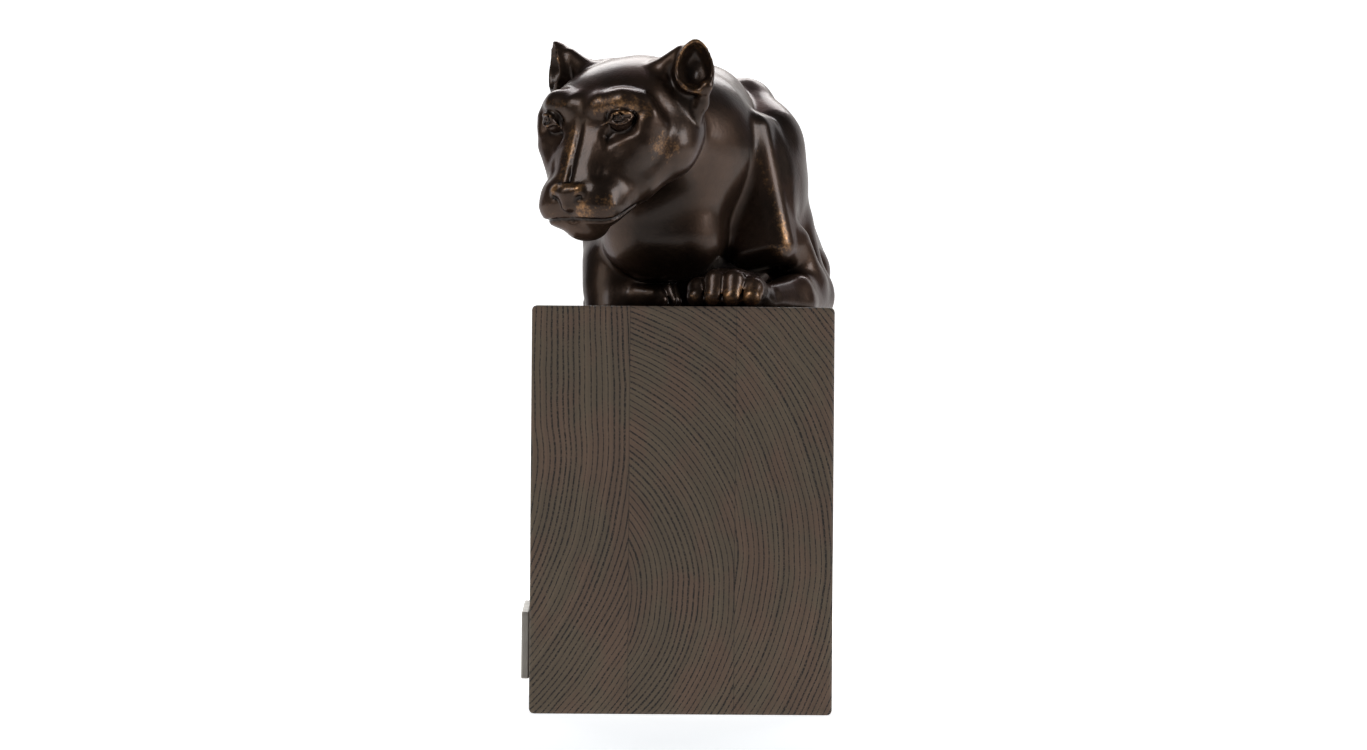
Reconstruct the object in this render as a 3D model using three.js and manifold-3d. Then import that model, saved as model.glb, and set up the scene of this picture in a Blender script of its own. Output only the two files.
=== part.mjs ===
// A crouching big cat, cast in bronze, on a tall oblong wooden plinth with a small metal plate on its side.
// Millimetres, +Z up. The origin is the middle of the plinth's underside. The plinth's long side runs
// along Y, and the cat looks towards -Y, with its head turned towards -X.
//
// The cat is one solid. Its form is a sum of soft shapes, ovals and tapers, that flow into each other,
// with a few shapes carved out. The sum is a distance field, which is cut into triangles on a grid,
// thinned to few faces where the form is plain, and trimmed flat where it stands on the plinth.

import * as THREE from "three";
import Module from "manifold-3d";
import { mergeVertices } from "three/addons/utils/BufferGeometryUtils.js";
import { RoundedBoxGeometry } from "three/addons/geometries/RoundedBoxGeometry.js";

// Driving sizes
const plinthWidth = 150;
const plinthHeight = 202;
const plinthLength = 560;
const plinthEdge = 2.5; // radius of the plinth's eased edges
const catLength = 450; // nose to rump
const toeInset = 8; // from the plinth's front edge to the leading paw's toes
const plateLength = 130;
const plateHeight = 33.5;
const plateThickness = 4;
const plateEdge = 0.8; // radius of the plate's eased edges
const plateInset = 30; // from the plinth's front face to the plate
const plateRise = 15.5; // from the plinth's underside to the plate
const seatGap = 0.3; // between pieces that rest on each other

// The cat's form is written in points: its length, nose to rump, is this many.
const catPoints = 450;
const gridStep = 2.7; // of the grid that the form is cut on
const catFaces = 8600; // triangles left after thinning

// Vectors are arrays of three numbers.
const add = (a, b) => [a[0] + b[0], a[1] + b[1], a[2] + b[2]];
const sub = (a, b) => [a[0] - b[0], a[1] - b[1], a[2] - b[2]];
const times = (a, s) => [a[0] * s, a[1] * s, a[2] * s];
const dot = (a, b) => a[0] * b[0] + a[1] * b[1] + a[2] * b[2];
const cross = (a, b) => [
  a[1] * b[2] - a[2] * b[1],
  a[2] * b[0] - a[0] * b[2],
  a[0] * b[1] - a[1] * b[0],
];
const radians = (degrees) => (degrees * Math.PI) / 180;

// Three axes of a shape that faces -Y: forward, side (the cat's left, +X) and up.
// Yaw turns it towards -X, pitch lowers its front, and roll tips its left side down.
function facing(yaw, pitch = 0, roll = 0) {
  const [y, p, r] = [yaw, pitch, roll].map(radians);
  const level = [-Math.sin(y), -Math.cos(y), 0];
  const side = [Math.cos(y), -Math.sin(y), 0];
  const forward = add(times(level, Math.cos(p)), [0, 0, -Math.sin(p)]);
  const up = add(times(level, Math.sin(p)), [0, 0, Math.cos(p)]);
  return [
    forward,
    add(times(side, Math.cos(r)), times(up, -Math.sin(r))),
    add(times(up, Math.cos(r)), times(side, Math.sin(r))),
  ];
}

// Each soft shape is its distance function, the width over which it flows into the rest, and whether
// it is carved out. A taper is a cone with round ends. An oval and a block have sizes along their own
// three axes.
function taper(a, ra, b, rb, blend) {
  const [ax, ay, az] = a;
  const [ux, uy, uz] = sub(b, a);
  const square = ux * ux + uy * uy + uz * uz;
  const grow = rb - ra;
  const distance = (x, y, z) => {
    const px = x - ax;
    const py = y - ay;
    const pz = z - az;
    const t = Math.min(1, Math.max(0, (px * ux + py * uy + pz * uz) / square));
    const [dx, dy, dz] = [px - ux * t, py - uy * t, pz - uz * t];
    return Math.sqrt(dx * dx + dy * dy + dz * dz) - ra - grow * t;
  };
  return { distance, blend, carved: false };
}

function oval(centre, [rf, rs, ru], [f, s, u], blend) {
  const [cx, cy, cz] = centre;
  const [[fx, fy, fz], [sx, sy, sz], [ux, uy, uz]] = [times(f, 1 / rf), times(s, 1 / rs), times(u, 1 / ru)];
  const distance = (x, y, z) => {
    const px = x - cx;
    const py = y - cy;
    const pz = z - cz;
    const a = px * fx + py * fy + pz * fz;
    const b = px * sx + py * sy + pz * sz;
    const c = px * ux + py * uy + pz * uz;
    const inside = Math.sqrt(a * a + b * b + c * c);
    const slope = Math.sqrt((a * a) / (rf * rf) + (b * b) / (rs * rs) + (c * c) / (ru * ru));
    return (inside * (inside - 1)) / (slope + 1e-9);
  };
  return { distance, blend, carved: false };
}

function block(centre, halves, axes, rounding, blend) {
  const distance = (x, y, z) => {
    const p = [x - centre[0], y - centre[1], z - centre[2]];
    const q = axes.map((axis, i) => Math.abs(dot(p, axis)) - halves[i] + rounding);
    return Math.hypot(...q.map((v) => Math.max(v, 0))) + Math.min(Math.max(...q), 0) - rounding;
  };
  return { distance, blend, carved: false };
}

// The same shape, carved out of what comes before it.
const carve = (shape) => ({ ...shape, carved: true });

// Tapers along a line of points, one radius at each.
function chain(points, radii, blend) {
  return points.slice(1).map((p, i) => taper(points[i], radii[i], p, radii[i + 1], blend));
}

// Adds a shape's distance to the sum so far, or carves it out, with a soft seam.
function merge(sum, near, blend, carved) {
  const gap = Math.abs((carved ? -near : near) - sum);
  const h = Math.max(blend - gap, 0) / blend;
  const soft = (h * h * blend) / 4;
  return carved ? Math.max(sum, -near) + soft : Math.min(sum, near) - soft;
}

// Half an oval with its flat side forward, narrower towards its top and hollowed from the flat side.
function cup(centre, radii, axes, wall, blend) {
  const narrowing = 0.24;
  const distance = (x, y, z) => {
    const p = [x - centre[0], y - centre[1], z - centre[2]];
    const [front, across, up] = axes.map((axis) => dot(p, axis));
    const side = across / (1 - narrowing * Math.min(1, Math.max(-1, up / radii[2])));
    const shell = (inset) => {
      const [rf, rs, ru] = radii.map((r) => r - inset);
      const q = [(front - inset * 0.4) / rf, side / rs, up / ru];
      const inside = Math.hypot(...q);
      return (inside * (inside - 1)) / (Math.hypot(q[0] / rf, q[1] / rs, q[2] / ru) + 1e-9);
    };
    return merge(merge(shell(0), -front, 2.5, true), shell(wall), 2, true);
  };
  return { distance, blend, carved: false };
}

const ahead = facing(0);
const sides = [-1, 1]; // the cat's right, towards -X, and its left

// In the cat's frame x is across, from the plinth's middle, y runs back from the leading toes,
// and z is the height above the plinth's top.
const shoulderMiddle = 10; // x of the body's middle line at the shoulders
const hipMiddle = 19;

function trunk() {
  return [
    block([-6, 88, 60], [39, 31, 46], facing(8), 24, 12), // chest
    taper([-18, 68, 66], 24, [-9, 72, 42], 20, 14), // breastbone
    oval([11, 160, 52], [72, 45, 56], ahead, 24), // ribs
    oval([15, 235, 48], [86, 43, 50], ahead, 24), // belly, which lies on the plinth
    oval([hipMiddle, 325, 57], [76, 41, 52], ahead, 24), // hips
    oval([hipMiddle, 392, 46], [48, 37, 43], ahead, 22), // rump
    ...chain([[-22, 48, 90], [0, 88, 84], [6, 130, 90]], [31, 36, 30], 16), // neck
    ...chain([[12, 112, 104], [16, 200, 90], [17, 300, 88]], [20, 18, 20], 18), // back
  ];
}

function foreLimbs() {
  const shapes = [];
  for (const s of sides) {
    const x = (offset) => shoulderMiddle + s * offset;
    shapes.push(
      block([x(27), 87, 60], [14, 18, 40], facing(24 * s, 0, -13 * s), 10.5, 5), // upper arm
      ...chain([[x(22), 178, 90], [x(24), 138, 105], [x(34), 112, 87]], [15, 15.5, 18], 4), // shoulder blade
      oval([x(37.5), 122, 63], [41, 19.5, 42], facing(0, -6), 8), // shoulder
    );
  }
  shapes.push(
    carve(taper([26, 60, 17], 2.8, [76, 70, 19.5], 2.4, 3)), // fold over the left forearm
    ...chain([[65, 114, 6], [56, 76, 3.5], [40, 46, 2.5]], [15.5, 12.5, 9], 5), // left forearm
    ...chain([[67, 100, 15], [60, 74, 10.5], [46, 50, 6]], [6.2, 4.5, 4], 5), // its upper edge
    taper([64, 117, 12], 13, [55, 122, 42], 15, 8), // left elbow
    taper([58, 92, 34], 9, [64, 100, 14], 11, 6),
    taper([-35, 116, 46], 16, [-34.5, 96, 12], 14.2, 9), // right forearm, upright
    taper([-34.5, 96, 24], 14.2, [-34, 89, -2], 14.7, 6),
  );
  return [...shapes, ...paw([22.5, 27, 0], 13, 1.08), ...paw([-12, 84, 0], -70, 0.8)];
}

// A paw at the point between its toes' roots, turned by yaw: a pad and four arched toes.
function paw(place, yaw, size) {
  const [forward, side, up] = facing(yaw);
  const at = (f, s, u) =>
    add(add(place, times(forward, f * size)), add(times(side, s * size), times(up, u * size)));
  const shapes = [
    oval(at(-9, 0, 7), [19 * size, 17 * size, 11 * size], facing(yaw), 6),
    oval(at(-1, 0, 5.5), [11 * size, 16.5 * size, 9.5 * size], facing(yaw), 4),
  ];
  for (const toe of [-1.5, -0.5, 0.5, 1.5]) {
    const reach = 11 - 1.5 * toe * toe;
    const top = 14 - 1.8 * toe * toe;
    const line = [at(reach - 16, toe * 8, top - 0.5), at(reach - 4, toe * 8.6, top - 1.5), at(reach, toe * 8.7, 4.5)];
    shapes.push(...chain(line, [4.8 * size, 4.9 * size, 4.6 * size], 2));
  }
  for (const gap of [-1, 0, 1]) {
    const reach = 16 - 1.5 * gap * gap;
    const groove = taper(at(reach, gap * 8.7, 1), 1.4 * size, at(reach - 14, gap * 8.3, 20), 1, 1.5);
    shapes.push(carve(groove));
  }
  return shapes;
}

function hindLimbs() {
  const shapes = [];
  for (const s of sides) {
    const x = (offset) => hipMiddle + s * offset;
    shapes.push(
      oval([x(34), 308, 60], [64, 21, 49], facing(0, 8), 10), // thigh
      taper([x(37), 280, 46], 21, [x(47), 232, 23], 17.5, 10), // towards the knee
      taper([x(47), 234, 20], 16, [x(40), 330, 14], 12, 6), // shin
      ...chain([[x(40), 345, 14], [x(43), 300, 7], [x(45), 236, 7]], [11, 10, 10], 6), // foot
      ...paw([x(45), 226, 0], -4 * s, 0.9),
    );
  }
  return shapes;
}

// The tail comes down from the rump and lies in an arc on the plinth, towards the cat's right.
function tail() {
  const places = Array.from({ length: 9 }, (_, k) => k / 8);
  const arc = places.map((t) => {
    const angle = radians(94 * t);
    return [-38 + 56 * Math.cos(angle), 458 + 56 * Math.sin(angle), 8 + 11 * (1 - t) ** 3];
  });
  const radii = places.map((t) => 10.5 - 2.7 * t);
  return [...chain([[19, 418, 54], [19, 440, 36], arc[0]], [14, 12, 10.5], 4), ...chain(arc, radii, 1)];
}

// The head has a frame of its own, f forward, s to the cat's left and u up, round the skull's middle.
// The muzzle keeps level.
const skull = [-32.2, 24, 101];
const headTurn = 33;
const headDip = 27;
const headAxes = facing(headTurn, headDip);
const levelAxes = facing(headTurn);
const turned = ([f, s, u]) => add(add(times(headAxes[0], f), times(headAxes[1], s)), times(headAxes[2], u));
const inHead = (p) => add(skull, turned(p));
const headOval = (centre, radii, blend, axes = headAxes) => oval(inHead(centre), radii, axes, blend);
const headChain = (points, radii, blend) => chain(points.map(inHead), radii, blend);
const unit = (v) => times(v, 1 / Math.hypot(...v));

function head() {
  const [bridgeLine, bridgeUp] = [[25.6, 0, -22.7], [22.7, 0, 25.6]].map(unit);
  const shapes = [
    headOval([-6, 0, 0], [34, 30.5, 18], 12), // cranium
    headOval([9, 0, 5.5], [24.5, 28, 13.5], 12), // forehead
    ...headChain([[18, 0, -8], [38, 0, -20]], [21, 17], 8), // face
    headOval([48.5, 0, -30.5], [18, 19.5, 11.5], 6, levelAxes), // muzzle
    headOval([54, 0, -40.8], [12.5, 11, 8.5], 3.5, levelAxes), // chin
  ];
  for (const s of sides) {
    const cheekbone = [[20, s * 29, -3], [28, s * 25, -9], [34, s * 18.5, -15], [41, s * 13.5, -23]];
    const rim = [[21.5, s * 31, 3.5], [25, s * 28.5, -0.5], [30.5, s * 22.5, -4.5], [35, s * 16, -6.5]];
    shapes.push(
      headOval([1, s * 22.5, -18.5], [26, 18, 19], 10), // cheek
      ...headChain([[46, s * 10, -32], [30, s * 17.5, -27], [8, s * 25, -22]], [8.5, 11, 13.5], 8), // jaw
      ...headChain(cheekbone, [6.5, 6.3, 6.3, 6.3], 8),
      ...headChain([[28.5, s * 8, 12.5], [25, s * 19, 12], [19.5, s * 26.5, 8.6]], [3.4, 3.6, 3.6], 9), // brow
      ...headChain([[42.5, s * 10, -10.5], [40.5, s * 12.5, -19], [41, s * 14, -28]], [5.5, 6, 6.5], 6),
      ...headChain(rim, [2.5, 2.5, 2.5, 2.5], 6), // rim under the eye
    );
  }
  // The bridge of the nose has two facets that meet in a low ridge.
  for (const s of sides) {
    const facet = add(times(bridgeUp, Math.cos(0.28)), [0, s * Math.sin(0.28), 0]);
    const axes = [bridgeLine, cross(bridgeLine, facet), facet].map(turned);
    shapes.push(block(inHead(sub([44.6, s * 6, -10.7], times(bridgeUp, 0.8))), [20.5, 6.6, 6.5], axes, 2.4, 2.2));
  }
  for (const s of sides) {
    const whiskerPad = [[51.5, s * 11.5, -25], [53.5, s * 10.8, -29.5], [43, s * 13.8, -30]];
    shapes.push(
      ...headChain(whiskerPad, [9.2, 11.2, 9.5], 5),
      ...headChain([[46.5, s * 14.4, -2.3], [54, s * 15, -12]], [2.6, 2], 6).map(carve), // beside the bridge
      carve(taper(inHead([37.5, s * 14.5, -0.5]), 1.4, inHead([32.5, s * 26, 1.5]), 1.4, 5)),
      ...eye(s),
    );
  }
  shapes.push(
    ...headChain([[62.4, -6.4, -18.6], [63.4, 0, -19.2], [62.4, 6.4, -18.6]], [3, 3.5, 3], 2.5), // nose
    ...headChain([[63, 0, -20], [65.5, 0, -25]], [4.2, 3], 2.5),
  );
  for (const s of sides) {
    shapes.push(
      ...headChain([[60.5, s * 8, -20.5], [58, s * 9, -19]], [2.4, 2.2], 2), // nostril's wing
      ...mouthLine(s).map(carve),
      ...headChain([[-19, s * 20, 5], [-21, s * 29, 9]], [11, 7], 6),
      ...ear(s),
    );
  }
  shapes.push(...headChain([[-10.4, 46.5, 4], [-9, 42, -5], [-6, 37.5, -12]], [3, 3, 2.5], 4)); // left ear's foot
  return shapes;
}

// An eyeball in an almond socket, looking forward, outward and up.
function eye(s) {
  const look = unit([0.747, s * 0.545, 0.381]);
  const rise = [-0.454, 0, 0.891];
  const top = unit(sub(rise, times(look, dot(rise, look))));
  const axes = [look, cross(look, top), top].map(turned);
  const middle = [29.5, s * 19.2, 5.3];
  return [
    carve(oval(inHead(add(middle, times(look, 1.4))), [6.8, 7.6, 5], axes, 3)),
    headOval(middle, [6.3, 6.3, 6.3], 1.8),
  ];
}

function mouthLine(s) {
  const front = [[65, 0, -33.3], [65.4, s * 8, -33.4], [64.4, s * 14, -34.2]];
  const corner = [[60.5, s * 18.3, -35.8], [52, s * 21.3, -36.6], [40, s * 22.8, -36.8]];
  return headChain([...front, ...corner], [1.6, 1.7, 1.7, 1.6, 1.5, 1], 1.2);
}

// A cupped ear whose mouth faces outward and forward, with its roots on the skull and the cheek.
function ear(s) {
  const mouth = unit([0.6, s * 0.72, 0.34]);
  const long = unit([-0.527, s * -0.03, 0.85]);
  const side = times(unit(cross(long, mouth)), s);
  const axes = [mouth, side, long].map(turned);
  const opening = sub(times(mouth, 3), add(times(side, 13), times(long, 5)));
  const middle = add([-11.4, s * 43, 16.4], times(long, s > 0 ? -1.2 : 0.2));
  return [
    ...headChain([[-11, s * 21.5, 12.5], [-16, s * 33, 20]], [6, 4], 5),
    ...headChain([[-14, s * 36, 8], [-11, s * 32, -7]], [6.5, 8], 6),
    cup(inHead(middle), [14, 10.8, 14.2], axes, 4, 3.5),
    carve(oval(inHead(add(middle, times(mouth, 1.5))), [9.5, 5.6, 8.2], axes, 2)),
    carve(taper(inHead(add(middle, times(mouth, 2))), 5, inHead(add(middle, opening)), 2.5, 3)),
  ];
}

const catShapes = [...trunk(), ...hindLimbs(), ...tail(), ...foreLimbs(), ...head()];

// The sum of the shapes on a grid, negative inside. Each block of cells counts only the shapes near it,
// and a block far from the surface takes its middle's value throughout.
const blockCells = 6;
function sample(shapes, low, high, step) {
  const size = step * blockCells;
  const blocks = sub(high, low).map((length) => Math.ceil(length / size));
  const count = blocks.map((n) => n * blockCells + 1);
  const values = new Float32Array(count[0] * count[1] * count[2]);
  const reach = (size * Math.sqrt(3)) / 2;
  const fill = (block, valueAt) => {
    const start = block.map((n) => n * blockCells);
    for (let k = start[2]; k <= start[2] + blockCells; k++) {
      for (let j = start[1]; j <= start[1] + blockCells; j++) {
        for (let i = start[0]; i <= start[0] + blockCells; i++) {
          values[i + count[0] * (j + count[1] * k)] = valueAt(i, j, k);
        }
      }
    }
  };
  const close = [];
  for (let k = 0; k < blocks[2]; k++) {
    for (let j = 0; j < blocks[1]; j++) {
      for (let i = 0; i < blocks[0]; i++) {
        const middle = [i, j, k].map((n, axis) => low[axis] + (n + 0.5) * size);
        const each = shapes.map(({ distance }) => distance(...middle));
        const sum = shapes.reduce((d, { blend, carved }, n) => merge(d, each[n], blend, carved), 1e3);
        if (Math.abs(sum) < 1.6 * reach + 2) {
          const most = (carved) => 2.6 * reach + 2 + (carved ? 0 : sum);
          const near = shapes.filter(({ blend, carved }, n) => each[n] < most(carved) + blend);
          close.push({ block: [i, j, k], near });
        } else {
          fill([i, j, k], () => sum);
        }
      }
    }
  }
  for (const { block, near } of close) {
    fill(block, (i, j, k) => {
      const [x, y, z] = [low[0] + i * step, low[1] + j * step, low[2] + k * step];
      let d = 1e3;
      for (const { distance, blend, carved } of near) d = merge(d, distance(x, y, z), blend, carved);
      return Math.max(d, low[2] + 1.5 * step - z) || 1e-6;
    });
  }
  return { values, count, low, step, close: close.map(({ block }) => block) };
}

// Cuts the grid's zero surface into triangles. Each cell is six tetrahedra round one diagonal.
const cellCorners = [0, 1, 2, 3, 4, 5, 6, 7].map((i) => [i & 1, (i >> 1) & 1, i >> 2]);
const tetrahedra = [[0, 1, 3, 7], [0, 3, 2, 7], [0, 2, 6, 7], [0, 6, 4, 7], [0, 4, 5, 7], [0, 5, 1, 7]];

function triangulate({ values, count, low, step, close }) {
  const place = (n) => {
    const i = n % count[0];
    const j = Math.floor(n / count[0]) % count[1];
    const k = Math.floor(n / (count[0] * count[1]));
    return [low[0] + i * step, low[1] + j * step, low[2] + k * step];
  };
  const points = [];
  const triangles = [];
  const onEdge = new Map();
  const crossing = (a, b) => {
    const key = a < b ? a * values.length + b : b * values.length + a;
    if (!onEdge.has(key)) {
      const t = Math.min(0.95, Math.max(0.05, values[a] / (values[a] - values[b])));
      const p = place(a);
      points.push(...add(p, times(sub(place(b), p), t)));
      onEdge.set(key, points.length / 3 - 1);
    }
    return onEdge.get(key);
  };
  const cutTetrahedron = (corners) => {
    const inside = corners.filter((n) => values[n] < 0);
    const outside = corners.filter((n) => values[n] >= 0);
    if (!inside.length || !outside.length) return;
    const rim =
      inside.length === 2
        ? [[0, 0], [0, 1], [1, 1], [1, 0]].map(([i, o]) => crossing(inside[i], outside[o]))
        : inside.flatMap((i) => outside.map((o) => crossing(i, o)));
    const [a, b, c] = rim.map((v) => points.slice(v * 3, v * 3 + 3));
    const outward = sub(place(outside[0]), place(inside[0]));
    const turnedIn = dot(cross(sub(b, a), sub(c, a)), outward) < 0;
    for (let i = 1; i + 1 < rim.length; i++) {
      triangles.push(...(turnedIn ? [rim[0], rim[i + 1], rim[i]] : [rim[0], rim[i], rim[i + 1]]));
    }
  };
  const corner = cellCorners.map(([a, b, c]) => a + count[0] * (b + count[1] * c));
  for (const block of close) {
    const [si, sj, sk] = block.map((n) => n * blockCells);
    for (let k = sk; k < sk + blockCells; k++) {
      for (let j = sj; j < sj + blockCells; j++) {
        for (let i = si; i < si + blockCells; i++) {
          const first = i + count[0] * (j + count[1] * k);
          let negative = 0;
          for (const c of corner) if (values[first + c] < 0) negative++;
          if (negative === 0 || negative === 8) continue;
          for (const four of tetrahedra) cutTetrahedron(four.map((n) => first + corner[n]));
        }
      }
    }
  }
  return { points, triangles };
}

// Thins a closed mesh to the wanted number of triangles: it joins the two ends of an edge where that
// moves the surface least, by the sum of squared distances to the planes round them. detail(x, y, z)
// says how much more a place matters than the rest.
function thin({ points, triangles }, wanted, detail) {
  const vertexCount = points.length / 3;
  const spot = Float64Array.from(points);
  const corner = Int32Array.from(triangles);
  const quadrics = new Float64Array(10 * vertexCount);
  const fans = Array.from({ length: vertexCount }, () => []);
  const stamp = new Int32Array(vertexCount);
  const weights = new Float64Array(vertexCount);
  const normal = new Float64Array(3);
  const evenness = 0.004; // how much an edge's length counts beside the error
  const triangleNormal = (a, b, c) => {
    const [ux, uy, uz] = [b[0] - a[0], b[1] - a[1], b[2] - a[2]];
    const [vx, vy, vz] = [c[0] - a[0], c[1] - a[1], c[2] - a[2]];
    return [uy * vz - uz * vy, uz * vx - ux * vz, ux * vy - uy * vx];
  };
  const at = (v) => [spot[3 * v], spot[3 * v + 1], spot[3 * v + 2]];
  let left = corner.length / 3;
  for (let v = 0; v < vertexCount; v++) weights[v] = detail(...at(v));
  for (let t = 0; t < left; t++) {
    const three = [corner[3 * t], corner[3 * t + 1], corner[3 * t + 2]];
    const [a, b, c] = three.map(at);
    const n = triangleNormal(a, b, c);
    const size = Math.hypot(...n);
    const [nx, ny, nz] = times(n, 1 / (size || 1));
    const plane = [nx, ny, nz, -(nx * a[0] + ny * a[1] + nz * a[2])];
    for (const v of three) {
      fans[v].push(t);
      let m = 10 * v;
      for (let i = 0; i < 4; i++) {
        for (let j = i; j < 4; j++) quadrics[m++] += size * weights[v] * plane[i] * plane[j];
      }
    }
  }
  const q = new Float64Array(10);
  const errorAt = (x, y, z) =>
    q[0] * x * x + 2 * q[1] * x * y + 2 * q[2] * x * z + 2 * q[3] * x + q[4] * y * y +
    2 * q[5] * y * z + 2 * q[6] * y + q[7] * z * z + 2 * q[8] * z + q[9];
  const bestPlace = (a, b) => {
    const middle = times(add(a, b), 0.5);
    const [m0, m1, m2] = [q[4] * q[7] - q[5] * q[5], q[2] * q[5] - q[1] * q[7], q[1] * q[5] - q[2] * q[4]];
    const volume = q[0] * m0 + q[1] * m1 + q[2] * m2;
    if (Math.abs(volume) > 1e-3) {
      const [m3, m4, m5] = [q[0] * q[7] - q[2] * q[2], q[1] * q[2] - q[0] * q[5], q[0] * q[4] - q[1] * q[1]];
      const solved = [
        -(m0 * q[3] + m1 * q[6] + m2 * q[8]) / volume,
        -(m1 * q[3] + m3 * q[6] + m4 * q[8]) / volume,
        -(m2 * q[3] + m4 * q[6] + m5 * q[8]) / volume,
      ];
      if (Math.hypot(...sub(solved, middle)) < Math.hypot(...sub(a, b))) return solved;
    }
    return [middle, a, b].sort((p, r) => errorAt(...p) - errorAt(...r))[0];
  };
  const heap = [];
  const push = (entry) => {
    let i = heap.length;
    while (i > 0) {
      const parent = (i - 1) >> 1;
      if (heap[parent].cost <= entry.cost) break;
      heap[i] = heap[parent];
      i = parent;
    }
    heap[i] = entry;
  };
  const pop = () => {
    const top = heap[0];
    const entry = heap.pop();
    if (!heap.length) return top;
    let i = 0;
    for (;;) {
      let least = 2 * i + 1;
      if (least >= heap.length) break;
      if (least + 1 < heap.length && heap[least + 1].cost < heap[least].cost) least++;
      if (heap[least].cost >= entry.cost) break;
      heap[i] = heap[least];
      i = least;
    }
    heap[i] = entry;
    return top;
  };
  const neighbours = (v) => {
    const found = [];
    for (const t of fans[v]) {
      for (let i = 3 * t; i < 3 * t + 3; i++) {
        if (corner[i] !== v && !found.includes(corner[i])) found.push(corner[i]);
      }
    }
    return found;
  };
  const offer = (a, b) => {
    for (let i = 0; i < 10; i++) q[i] = quadrics[10 * a + i] + quadrics[10 * b + i];
    const [pa, pb] = [at(a), at(b)];
    const place = bestPlace(pa, pb);
    const span = sub(pa, pb);
    const cost = errorAt(...place) + evenness * weights[a] * dot(span, span);
    push({ cost, a, b, place, stampA: stamp[a], stampB: stamp[b] });
  };
  const folds = (v, other, place) => {
    for (const t of fans[v]) {
      const three = [corner[3 * t], corner[3 * t + 1], corner[3 * t + 2]];
      if (three.includes(other)) continue;
      const before = triangleNormal(...three.map(at));
      const after = triangleNormal(...three.map((w) => (w === v ? place : at(w))));
      if (dot(before, after) < 0.25 * Math.hypot(...before) * Math.hypot(...after)) return true;
    }
    return false;
  };
  for (let v = 0; v < vertexCount; v++) {
    for (const w of neighbours(v)) if (v < w) offer(v, w);
  }
  while (left > wanted && heap.length) {
    const { a, b, place, stampA, stampB } = pop();
    if (stamp[a] !== stampA || stamp[b] !== stampB) continue;
    const around = neighbours(b);
    const shared = neighbours(a).filter((v) => around.includes(v));
    if (shared.length !== 2 || folds(a, b, place) || folds(b, a, place)) continue;
    const gone = fans[b].filter((t) => fans[a].includes(t));
    for (const t of fans[b]) {
      if (gone.includes(t)) continue;
      for (let i = 3 * t; i < 3 * t + 3; i++) if (corner[i] === b) corner[i] = a;
      fans[a].push(t);
    }
    for (const v of [a, ...shared]) fans[v] = fans[v].filter((t) => !gone.includes(t));
    left -= gone.length;
    fans[b] = [];
    stamp[b] = -1;
    stamp[a]++;
    for (let i = 0; i < 3; i++) spot[3 * a + i] = place[i];
    for (let i = 0; i < 10; i++) quadrics[10 * a + i] += quadrics[10 * b + i];
    for (const v of neighbours(a)) offer(a, v);
  }
  const kept = new Set(fans.flat());
  return { points: spot, triangles: [...kept].flatMap((t) => [...corner.subarray(3 * t, 3 * t + 3)]) };
}

// Closed meshes to solids and back.
const wasm = await Module();
wasm.setup();

function solidOf({ points, triangles }) {
  return new wasm.Manifold(
    new wasm.Mesh({
      numProp: 3,
      vertProperties: new Float32Array(points),
      triVerts: new Uint32Array(triangles),
    }),
  );
}

function solidOfGeometry(source) {
  const bare = source.clone();
  bare.deleteAttribute("normal");
  bare.deleteAttribute("uv");
  const merged = mergeVertices(bare);
  return solidOf({ points: merged.attributes.position.array, triangles: merged.index.array });
}

function geometryOf(solid) {
  const { vertProperties, triVerts } = solid.getMesh();
  const geometry = new THREE.BufferGeometry();
  geometry.setAttribute("position", new THREE.BufferAttribute(vertProperties, 3));
  geometry.setIndex(new THREE.BufferAttribute(triVerts, 1));
  geometry.computeVertexNormals();
  return geometry;
}

// Renumbers the points that triangles still use.
function compact({ points, triangles }) {
  const number = new Map();
  const kept = [];
  const renumbered = triangles.map((v) => {
    if (!number.has(v)) {
      number.set(v, number.size);
      kept.push(points[3 * v], points[3 * v + 1], points[3 * v + 2]);
    }
    return number.get(v);
  });
  return { points: kept, triangles: renumbered };
}

// The head and the paws keep more of their faces than the body does.
function carvingDetail(x, y, z) {
  if (y < 75 && z > 40) return 5;
  if (y < 50) return 4;
  return 1;
}

function catGeometry() {
  const rough = triangulate(sample(catShapes, [-78, -28, -8], [98, 540, 142], gridStep));
  const fine = compact(thin(rough, catFaces, carvingDetail));
  const below = new THREE.BoxGeometry(1000, 2000, 100);
  below.translate(0, 0, -50);
  const pieces = solidOf(fine).subtract(solidOfGeometry(below)).decompose();
  const largest = pieces.sort((a, b) => b.volume() - a.volume())[0];
  const scale = catLength / catPoints;
  return geometryOf(largest).scale(scale, scale, scale);
}

const bronze = new THREE.MeshStandardMaterial({ color: 0x3a2c22, roughness: 0.32, metalness: 0.9 });
const stainedWood = new THREE.MeshStandardMaterial({ color: 0x564b42, roughness: 0.72, metalness: 0 });
const brushedMetal = new THREE.MeshStandardMaterial({ color: 0x77736d, roughness: 0.45, metalness: 0.85 });

function meshOf(name, geometry, material, position) {
  const mesh = new THREE.Mesh(geometry, material);
  mesh.name = name;
  mesh.position.set(...position);
  return mesh;
}

const roundedBox = (x, y, z, radius) => new RoundedBoxGeometry(x, y, z, 2, radius);

const statue = new THREE.Group();
statue.add(
  meshOf(
    "plinth",
    roundedBox(plinthWidth, plinthLength, plinthHeight, plinthEdge),
    stainedWood,
    [0, 0, plinthHeight / 2],
  ),
  meshOf(
    "plate",
    roundedBox(plateThickness, plateLength, plateHeight, plateEdge),
    brushedMetal,
    [
      -plinthWidth / 2 - seatGap - plateThickness / 2,
      -plinthLength / 2 + plateInset + plateLength / 2,
      plateRise + plateHeight / 2,
    ],
  ),
  meshOf("cat", catGeometry(), bronze, [0, -plinthLength / 2 + toeInset, plinthHeight + seatGap]),
);

export default statue;
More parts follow.
